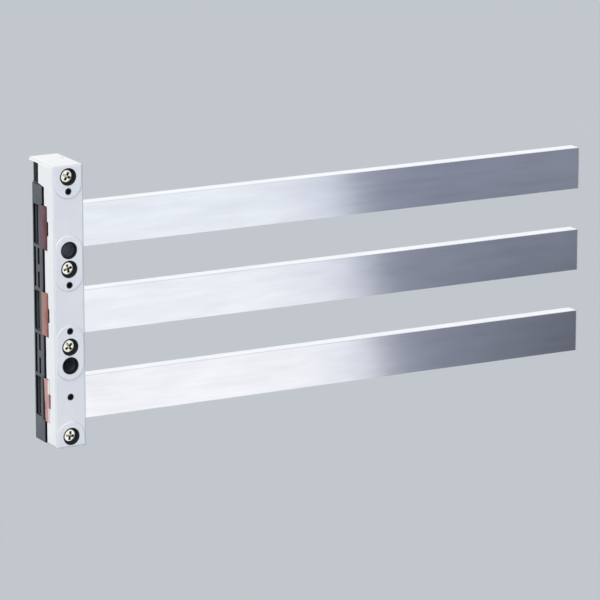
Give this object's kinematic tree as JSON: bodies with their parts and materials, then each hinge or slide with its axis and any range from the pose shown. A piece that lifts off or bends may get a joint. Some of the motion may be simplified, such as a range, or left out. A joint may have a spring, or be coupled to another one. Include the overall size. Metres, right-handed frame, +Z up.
{
  "type": "busbar set with support",
  "caption": "Flat tin-plated copper busbars held edge up, one above another, in a moulded insulating end support with a screwed clamp strip and a pale cover.",
  "frame": {"origin": "on the support's mounting face, midway between the two fixing holes", "axes": "+X along the bars, away from the support; +Y out of the mounting face, to the rear; +Z up across the bars"},
  "size_m": [0.42, 0.038, 0.196],
  "materials": {
    "base_plastic": "dark grey glass-filled moulding",
    "strip_plastic": "black-grey glass-filled moulding",
    "cover_plastic": "pale grey satin moulding",
    "tinned_copper": "bright tin plating on copper, bare copper at the cut ends",
    "zinc_steel": "zinc plated, faintly yellow"
  },
  "bodies": {
    "root": {"base": "base_plastic", "clamp_strip": "strip_plastic", "cover": "cover_plastic", "busbar_upper": "tinned_copper", "busbar_middle": "tinned_copper", "busbar_lower": "tinned_copper", "clamp_screws": "zinc_steel", "clamp_nuts": "zinc_steel"}
  },
  "joints": []
}
